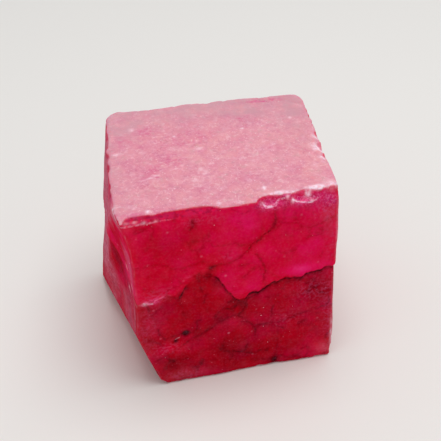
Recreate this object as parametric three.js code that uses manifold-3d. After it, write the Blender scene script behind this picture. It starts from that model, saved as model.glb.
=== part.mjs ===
// A rough-sawn ruby cube: one translucent red stone, about 30 mm on a side, sawn on its top and base and
// broken or ground on its sides. It isn't square. The left side flares out towards the base at the back,
// and a spall has taken the lower front left corner. One fracture runs right round the stone, and what is
// below it stands a little back from what is above. The rims are chipped all the way round.
//
// Millimetres, +Z up. The stone rests on its sawn base at z = 0, and the origin is the middle of its
// bounding box on that plane. -Y is the front, +X is the right.

import * as THREE from "three";
import { ImprovedNoise } from "three/addons/math/ImprovedNoise.js";
import { mergeVertices } from "three/addons/utils/BufferGeometryUtils.js";
import Module from "manifold-3d";

const wasm = await Module();
wasm.setup();

// ---- Driving dimensions -------------------------------------------------------------------------------

const HEIGHT = 30.1;

// The four upright edges, in plan: where each meets the base and the top, and how far it is rounded.
const UPRIGHT_EDGES = [
  { name: "front left", base: [-17.3, -15.3], top: [-15.2, -15.3], round: 0.5 },
  { name: "front right", base: [15.7, -13.6], top: [15.8, -13.0], round: 0.6 },
  { name: "back right", base: [16.5, 14.8], top: [17.1, 14.6], round: 2.4 },
  { name: "back left", base: [-17.5, 15.0], top: [-13.75, 15.3], round: 3.0 },
];

const RIM_ROUND = 0.3; // worn edge round the top and the base
const SETBACK = 0.35; // how far the stone below the fracture stands back from the stone above it

// Waviness of the broken sides: swells, and the smaller lumps on them.
const SWELL = { height: 0.25, length: 11 };
const LUMP = { height: 0.14, length: 4.5 };

// Mesh of the block: points along a side and round a corner, and levels up a side.
const GRID = { side: 18, corner: 4, levels: 18 };

// The fracture. Its line on the front is given as [x, z]; further back it levels out and wanders in waves.
// A wave turns by one radian in each `x` along X and each `y` along Y.
const FRACTURE = [
  [-24, 17.2], [-13.0, 16.4], [-10.5, 16.5], [-9.1, 16.9], [-7.7, 16.2], [-5.9, 18.3], [-5.0, 19.4],
  [-3.6, 19.6], [-2.6, 20.3], [-1.7, 18.9], [-0.3, 15.9], [1.9, 14.0], [4.9, 14.9], [6.2, 15.7],
  [7.6, 16.2], [10.7, 16.0], [12.2, 16.6], [15.0, 16.9], [24, 17.6],
];
const FRACTURE_LEVEL = 16.6;
const FRACTURE_WAVES = [
  { height: 1.1, x: 4.3, y: Infinity, start: 0.6 },
  { height: 1.0, x: Infinity, y: 3.4, start: 2.2 },
  { height: 0.35, x: 1.5, y: 1.5, start: 0 },
];

// The plane that the spall left on the lower front left corner, a point on it and the way it faces, and
// how rough it is.
const SPALL = { at: [-13.6, -15.6, 11.4], facing: [-0.931, -0.226, -0.285], rough: 0.16 };

// A shallow ledge in the top along the left half of the front rim, in plan. It runs out past the rim.
const LEDGE_DEPTH = 0.42;
const LEDGE = [
  [-13.9, -14.9], [-13.4, -13.9], [-12.6, -13.6], [-10.4, -13.6], [-9.8, -13.9], [-7.3, -13.2],
  [-3.3, -13.2], [-1.7, -13.3], [-0.4, -14.2], [-0.4, -18], [-14.8, -18],
];

// A groove in the top, along the right half of the back rim, in plan.
const GROOVE = {
  depth: 0.28,
  width: 0.45,
  line: [[7.4, 14.5], [10.2, 13.8], [12.1, 13.1], [13.8, 12.6], [17.5, 10.6]],
};

// Conchoidal scars. Each is a shallow bowl: the middle of its mouth, the way it faces, the direction of
// its length, its length and width, and how deep it is below its mouth. The broad ones were struck from
// an edge, so their middles lie near one or beyond it. A scar with a higher curve has a flatter floor and
// a steeper edge.
const X = [1, 0, 0];
const Y = [0, 1, 0];
const Z = [0, 0, 1];
const SCARS = [
  // Left side: a broad scar struck from the front, and a chip on the back left upright edge.
  {
    at: [-16.5, -20, 11.2],
    facing: [-0.995, 0.02, 0.1],
    along: [0, 0.73, -0.68],
    size: [62, 38.5],
    depth: 2.95,
    curve: 2.9,
  },
  { at: [-14.7, 14.3, 25.2], facing: [-0.9, 0.4, 0.1], along: Z, size: [4.4, 2.4], depth: 0.3 },
  // Left rim of the top.
  { at: [-14.9, -9.6, 29.8], facing: [-0.8, 0, 0.6], along: Y, size: [8.0, 1.3], depth: 0.3 },
  { at: [-14.4, -0.6, 29.9], facing: [-0.85, 0, 0.5], along: Y, size: [2.6, 0.8], depth: 0.22 },
  { at: [-14.3, 2.2, 29.8], facing: [-0.85, 0, 0.5], along: Y, size: [2.2, 1.0], depth: 0.25 },
  { at: [-14.2, 7.0, 29.6], facing: [-0.9, 0, 0.4], along: Y, size: [4.6, 1.8], depth: 0.3 },
  // Front rim of the top, right half: two bites, and the broken corner beside them.
  { at: [6.1, -13.1, 29.4], facing: [0.1, -0.76, 0.64], along: X, size: [3.0, 1.9], depth: 0.45 },
  { at: [11.1, -12.8, 29.5], facing: [0, -0.78, 0.62], along: X, size: [3.6, 1.9], depth: 0.45, curve: 2.6 },
  { at: [14.8, -12.6, 29.0], facing: [0.1, -0.9, 0.42], along: X, size: [3.2, 2.4], depth: 0.2 },
  // Front face: the chip on the lip of the fracture.
  { at: [-11.5, -15.05, 16.5], facing: [0, -0.9, 0.3], along: X, size: [2.2, 0.8], depth: 0.25 },
  // Base rim, front: the notch, and two shallow chips.
  { at: [6.9, -14.0, 0.3], facing: [0, -0.95, -0.2], along: Z, size: [4.2, 1.5], depth: 0.7 },
  { at: [11.6, -13.6, 0.15], facing: [0, -0.8, -0.6], along: X, size: [4.6, 0.7], depth: 0.12 },
  // Right rim of the top, and the front right upright edge.
  { at: [15.8, -4.7, 29.9], facing: [0.75, 0, 0.66], along: Y, size: [2.2, 1.0], depth: 0.2 },
  { at: [15.8, -2.0, 29.8], facing: [0.75, 0, 0.66], along: Y, size: [2.6, 1.5], depth: 0.3 },
  { at: [16.1, 1.4, 29.9], facing: [0.8, 0, 0.6], along: Y, size: [2.4, 1.0], depth: 0.2 },
  { at: [15.6, -13.4, 21.5], facing: [0.8, -0.6, 0], along: Z, size: [5.0, 1.2], depth: 0.2 },
  // Right side: struck from the back base corner, from the front base corner, and higher up at the back.
  { at: [16.8, 17.0, 1.0], facing: [1, 0.02, -0.02], along: [0, 0.8, -0.6], size: [40, 30], depth: 1.9 },
  { at: [15.9, -14.5, -1.0], facing: [1, 0, 0], along: [0, 0.9, 0.5], size: [20, 11], depth: 0.7 },
  { at: [16.6, 16.5, 22.6], facing: [1, 0.1, 0.02], along: [0, 0.9, -0.4], size: [21, 11], depth: 0.9 },
  // Back rim of the top.
  { at: [-6.6, 14.9, 29.8], facing: [0, 0.72, 0.7], along: X, size: [9.4, 1.4], depth: 0.3 },
  { at: [2.0, 14.9, 29.9], facing: [0, 0.8, 0.6], along: X, size: [3.6, 0.9], depth: 0.2 },
  // Back side: struck from the right base corner, the left upright edge and the left base corner.
  { at: [18.0, 15.0, -2.0], facing: [0.02, 1, -0.02], along: [0.85, 0, -0.5], size: [46, 32], depth: 2.0 },
  { at: [-17.5, 15.2, 19.0], facing: [-0.02, 1, 0.02], along: [0.6, 0, 0.8], size: [24, 19], depth: 1.1 },
  { at: [-12.0, 15.0, -2.0], facing: [0, 1, -0.02], along: X, size: [18, 15], depth: 0.9 },
  // Base rim: the foot of the spall, where it is worn blunt, then the left and the right side.
  {
    at: [-10.05, -15.3, 0.2],
    facing: [-0.6, -0.15, -0.8],
    along: [-0.24, 0.97, 0],
    size: [20, 2.6],
    depth: 0.45,
    curve: 4,
  },
  { at: [-16.9, 9.4, 0.5], facing: [-0.75, 0, -0.66], along: Y, size: [6.6, 1.6], depth: 0.3 },
  { at: [15.9, 3.4, 0.4], facing: [0.72, 0, -0.7], along: Y, size: [7.0, 1.4], depth: 0.3 },
];

// Solution pits in the front face: where they open, and how wide they are.
const PITS = [
  { at: [-6.5, -14.5, 9.4], width: 0.9 },
  { at: [-7.9, -14.6, 8.3], width: 0.65 },
];

// ---- Working in solids --------------------------------------------------------------------------------

// A closed three.js geometry as a manifold-3d solid. Triangles that shrink to a line at a pole are dropped.
function toSolid(geometry) {
  const bare = geometry.clone();
  bare.deleteAttribute("normal");
  bare.deleteAttribute("uv");
  const merged = mergeVertices(bare, 1e-4);
  const corners = merged.index.array;
  const kept = [];
  for (let i = 0; i < corners.length; i += 3) {
    const [a, b, c] = corners.slice(i, i + 3);
    if (a !== b && b !== c && c !== a) kept.push(a, b, c);
  }
  return new wasm.Manifold(
    new wasm.Mesh({
      numProp: 3,
      vertProperties: new Float32Array(merged.attributes.position.array),
      triVerts: new Uint32Array(kept),
    }),
  );
}

function toGeometry(solid) {
  const { vertProperties, triVerts } = solid.getMesh();
  const geometry = new THREE.BufferGeometry();
  geometry.setAttribute("position", new THREE.BufferAttribute(vertProperties, 3));
  geometry.setIndex(new THREE.BufferAttribute(triVerts, 1));
  return geometry;
}

const noise = new ImprovedNoise();

// Smooth noise from -1 to 1 at a point, whose bumps are about `length` apart.
function bumps(point, length, seed) {
  return noise.noise(point.x / length + seed, point.y / length + seed, point.z / length + seed);
}

// ---- The block ----------------------------------------------------------------------------------------

// The outline in plan at a height from 0 (base) to 1 (top), as points that run anticlockwise. Straight
// sides join corners that are rounded by quadratic curves.
function outlineAt(level) {
  const corners = UPRIGHT_EDGES.map(({ base, top }) =>
    new THREE.Vector2(...base).lerp(new THREE.Vector2(...top), level),
  );
  const towards = (from, to, distance) =>
    to.clone().sub(from).setLength(distance).add(from);
  const arcs = corners.map((corner, i) => {
    const before = corners[(i + 3) % 4];
    const after = corners[(i + 1) % 4];
    const { round } = UPRIGHT_EDGES[i];
    return new THREE.QuadraticBezierCurve(
      towards(corner, before, round),
      corner,
      towards(corner, after, round),
    );
  });
  const points = [];
  arcs.forEach((arc, i) => {
    for (let k = 0; k < GRID.corner; k++) points.push(arc.getPoint(k / GRID.corner));
    const next = arcs[(i + 1) % 4];
    for (let k = 0; k < GRID.side; k++) points.push(arc.v2.clone().lerp(next.v0, k / GRID.side));
  });
  return points;
}

// One ring of the block's skin, at a height and brought in by `inset`. The swells are the same in every
// block, and the lumps differ by seed.
function ringAt({ z, inset }, seed) {
  const outline = outlineAt(z / HEIGHT);
  return outline.map((plan, i) => {
    const before = outline[(i + outline.length - 1) % outline.length];
    const after = outline[(i + 1) % outline.length];
    const outward = new THREE.Vector2(after.y - before.y, before.x - after.x).normalize();
    const point = new THREE.Vector3(plan.x, plan.y, z);
    const swell = SWELL.height * bumps(point, SWELL.length, 6);
    const lump = LUMP.height * bumps(point, LUMP.length, seed);
    const moved = plan.clone().setLength(plan.length() - inset).addScaledVector(outward, swell + lump);
    return new THREE.Vector3(moved.x, moved.y, z);
  });
}

// The stone before it was chipped: rings from the base to the top, closed by a fan at each end.
function blockGeometry(setback, seed) {
  const rimInset = setback + RIM_ROUND;
  const profile = [{ z: 0, inset: rimInset }];
  for (let k = 0; k <= GRID.levels; k++) {
    profile.push({ z: RIM_ROUND + ((HEIGHT - 2 * RIM_ROUND) * k) / GRID.levels, inset: setback });
  }
  profile.push({ z: HEIGHT, inset: rimInset });

  const rings = profile.map((level) => ringAt(level, seed));
  const around = rings[0].length;
  const last = (rings.length - 1) * around;
  const points = rings.flat();
  const baseMiddle = points.push(new THREE.Vector3(0, 0, 0)) - 1;
  const topMiddle = points.push(new THREE.Vector3(0, 0, HEIGHT)) - 1;
  const faces = [];
  for (let i = 0; i < around; i++) {
    const j = (i + 1) % around;
    for (let low = 0; low < last; low += around) {
      const high = low + around;
      faces.push(low + i, low + j, high + j, low + i, high + j, high + i);
    }
    faces.push(baseMiddle, j, i, topMiddle, last + i, last + j);
  }
  return new THREE.BufferGeometry().setFromPoints(points).setIndex(faces);
}

// ---- What has broken away -----------------------------------------------------------------------------

// Height of the fracture's front line at x, by straight runs between its points.
function fractureLine(x) {
  const next = FRACTURE.findIndex(([pointX]) => pointX > x);
  const [x0, z0] = FRACTURE[next - 1];
  const [x1, z1] = FRACTURE[next];
  return z0 + ((z1 - z0) * (x - x0)) / (x1 - x0);
}

// Height of the fracture further back.
function fractureWaves(point) {
  return FRACTURE_WAVES.reduce(
    (sum, { height, x, y, start }) => sum + height * Math.sin(point.x / x + point.y / y + start),
    FRACTURE_LEVEL,
  );
}

// All that lies below the fracture: a box whose top is moved to the fracture's surface.
function belowFracture() {
  const size = { x: 40, y: 38, z: 20 };
  const box = new THREE.BoxGeometry(size.x, size.y, size.z, size.x * 2, size.y, 1);
  const position = box.attributes.position;
  const point = new THREE.Vector3();
  for (let i = 0; i < position.count; i++) {
    point.fromBufferAttribute(position, i);
    if (point.z < 0) continue;
    const inward = THREE.MathUtils.smoothstep(point.y, -13, 2);
    position.setZ(i, THREE.MathUtils.lerp(fractureLine(point.x), fractureWaves(point), inward));
  }
  return toSolid(box);
}

// A big box whose near side lies roughly on the spall's plane.
function spallCutter() {
  const reach = 64;
  const facing = new THREE.Vector3(...SPALL.facing).normalize();
  const box = new THREE.BoxGeometry(reach, reach, reach, 24, 24, 1).translate(0, 0, reach / 2);
  const position = box.attributes.position;
  const point = new THREE.Vector3();
  for (let i = 0; i < position.count; i++) {
    point.fromBufferAttribute(position, i);
    if (point.z < reach) position.setZ(i, SPALL.rough * bumps(point, 5, 11));
  }
  box.applyQuaternion(new THREE.Quaternion().setFromUnitVectors(new THREE.Vector3(...Z), facing));
  return toSolid(box.translate(...SPALL.at));
}

// A shape in plan, from a floor `depth` below the top to well above it.
function topCutter(shape, depth) {
  const prism = new THREE.ExtrudeGeometry(shape, { depth: 5, bevelEnabled: false });
  return toSolid(prism.translate(0, 0, HEIGHT - depth));
}

function ledgeCutter() {
  return topCutter(new THREE.Shape(LEDGE.map(([x, y]) => new THREE.Vector2(x, y))), LEDGE_DEPTH);
}

// The groove's line given a width, which narrows to a point at its left end.
function grooveCutter() {
  const { line, width, depth } = GROOVE;
  const near = line.map(([x, y], i) => new THREE.Vector2(x, i === 0 ? y : y - width));
  const far = line.slice(1).map(([x, y]) => new THREE.Vector2(x, y)).reverse();
  return topCutter(new THREE.Shape([...near, ...far]), depth);
}

// A bowl that leaves a conchoidal scar, with faint waves that spread from its middle. Above its mouth it
// opens a little further, then rises straight, so that it takes a whole edge or corner with it.
function scarCutter({ at, facing, along, size: [length, width], depth, curve = 2 }) {
  const steps = width > 3.5 ? { out: 12, around: 32 } : { out: 4, around: 12 };
  const wave = Math.min(0.012 * width, 0.1);
  const profile = [];
  for (let k = 0; k <= steps.out; k++) {
    const share = (1.25 * k) / steps.out;
    const rise = depth * share ** curve + wave * Math.sin((Math.PI * k) / 2);
    profile.push(new THREE.Vector2((share * width) / 2, rise - depth));
  }
  const brim = profile[steps.out];
  const lid = brim.y + width;
  profile.push(new THREE.Vector2(brim.x, lid), new THREE.Vector2(0, lid));
  const bowl = new THREE.LatheGeometry(profile, steps.around);
  bowl.scale(length / width, 1, 1);
  const out = new THREE.Vector3(...facing).normalize();
  const side = new THREE.Vector3(...along).projectOnPlane(out).normalize();
  bowl.applyMatrix4(new THREE.Matrix4().makeBasis(side, out, side.clone().cross(out)));
  return toSolid(bowl.translate(...at));
}

function pitCutter({ at, width }) {
  return toSolid(new THREE.IcosahedronGeometry(width / 2, 1).scale(1, 1.4, 0.8).translate(...at));
}

// ---- The stone ----------------------------------------------------------------------------------------

const fallenBack = belowFracture().subtract(toSolid(blockGeometry(SETBACK, 12)));
const cutters = [
  fallenBack,
  spallCutter(),
  ledgeCutter(),
  grooveCutter(),
  ...SCARS.map(scarCutter),
  ...PITS.map(pitCutter),
];
const stone = cutters.reduce((left, cutter) => left.subtract(cutter), toSolid(blockGeometry(0, 31)));

const geometry = toGeometry(stone);
geometry.computeBoundingBox();
const middle = geometry.boundingBox.getCenter(new THREE.Vector3());
geometry.translate(-middle.x, -middle.y, -geometry.boundingBox.min.z);

const ruby = new THREE.Mesh(
  geometry,
  new THREE.MeshStandardMaterial({ color: 0xb3123a, roughness: 0.45, metalness: 0, flatShading: true }),
);
ruby.name = "ruby_cube";

const rubyCube = new THREE.Group();
rubyCube.add(ruby);
export default rubyCube;
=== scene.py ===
from math import cos, radians, sin

import bmesh
import bpy
import numpy as np
from mathutils import Matrix, Vector


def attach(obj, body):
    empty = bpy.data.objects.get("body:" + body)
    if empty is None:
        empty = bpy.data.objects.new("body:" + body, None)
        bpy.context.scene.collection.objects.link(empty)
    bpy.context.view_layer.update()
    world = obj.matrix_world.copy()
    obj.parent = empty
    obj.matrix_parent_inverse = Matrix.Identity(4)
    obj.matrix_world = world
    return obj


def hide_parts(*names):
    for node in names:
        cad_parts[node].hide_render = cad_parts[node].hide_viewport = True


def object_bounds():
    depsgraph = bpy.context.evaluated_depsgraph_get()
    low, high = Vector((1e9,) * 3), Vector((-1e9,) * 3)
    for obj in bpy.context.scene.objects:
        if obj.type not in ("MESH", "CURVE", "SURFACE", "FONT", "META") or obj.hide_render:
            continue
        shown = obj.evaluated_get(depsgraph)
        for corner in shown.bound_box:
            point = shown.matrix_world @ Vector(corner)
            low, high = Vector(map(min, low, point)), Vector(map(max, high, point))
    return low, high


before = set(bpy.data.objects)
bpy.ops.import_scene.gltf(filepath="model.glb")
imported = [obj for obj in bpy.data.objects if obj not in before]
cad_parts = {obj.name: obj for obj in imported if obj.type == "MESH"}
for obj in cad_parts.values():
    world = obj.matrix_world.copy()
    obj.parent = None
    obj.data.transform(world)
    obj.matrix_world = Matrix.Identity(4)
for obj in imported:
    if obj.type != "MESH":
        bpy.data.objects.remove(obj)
cadBox = [list(corner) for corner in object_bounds()]
print("frame loaded,", len(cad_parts), "solid")

mm = 0.001  # lengths below are in millimetres, Blender's are in metres
middleNoise = 0.5  # a noise swings about this value
ragged = 3.0  # the noise's detail in patterns more ragged than its own 2 makes them

# the kinds of node that are used most, with their settings
seededNoise = ("ShaderNodeTexNoise", {"noise_dimensions": "4D"})
straight = ("ShaderNodeMapRange", None)
fade = ("ShaderNodeMapRange", {"interpolation_type": "SMOOTHSTEP"})
blend = ("ShaderNodeMix", {"data_type": "RGBA"})
greater = ("FunctionNodeCompare", {"operation": "GREATER_THAN"})
readValue, readVector = (
    ("GeometryNodeInputNamedAttribute", {"data_type": kind}) for kind in ("FLOAT", "FLOAT_VECTOR"))
plus, minus, times, divided, power, absolute, larger, timesPlus = (
    ("ShaderNodeMath", {"operation": name})
    for name in ("ADD", "SUBTRACT", "MULTIPLY", "DIVIDE", "POWER", "ABSOLUTE", "MAXIMUM", "MULTIPLY_ADD"))
vectorPlus, vectorMinus, vectorTimes, vectorLarger, vectorTimesPlus, vectorScale, vectorLength = (
    ("ShaderNodeVectorMath", {"operation": name})
    for name in ("ADD", "SUBTRACT", "MULTIPLY", "MAXIMUM", "MULTIPLY_ADD", "SCALE", "LENGTH"))


def linear(hexColour):
    # an sRGB hex value as the linear colour that the nodes take
    parts = [int(hexColour[i:i + 2], 16) / 255 for i in (1, 3, 5)]
    return (*[c / 12.92 if c <= 0.04045 else ((c + 0.055) / 1.055) ** 2.4 for c in parts], 1.0)


def addNode(tree, kind, settings=None, inputs=None, out=0):
    # adds a node with its settings, fills or links its inputs and gives back one of its outputs
    made = tree.nodes.new(kind)
    for name, value in (settings or {}).items():
        setattr(made, name, value)
    for socket, value in (inputs or {}).items():
        if isinstance(value, bpy.types.NodeSocket):
            tree.links.new(value, made.inputs[socket])
        else:
            made.inputs[socket].default_value = value
    return made.outputs[out] if len(made.outputs) else made


def noiseAt(place, seed, size, detail=2.0):
    # the inputs of a noise whose features are that many millimetres
    return {"Vector": place, "W": seed, "Scale": 1 / (size * mm), "Detail": detail}


def fallFrom(most, value, reach):
    # the inputs of a fade from the most to nothing over that reach
    return {"Value": value, "From Max": reach, "To Min": most, "To Max": 0.0}


def smoothStep(low, high, value):
    share = np.clip((value - low) / (high - low), 0, 1)
    return share * share * (3 - 2 * share)


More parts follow.
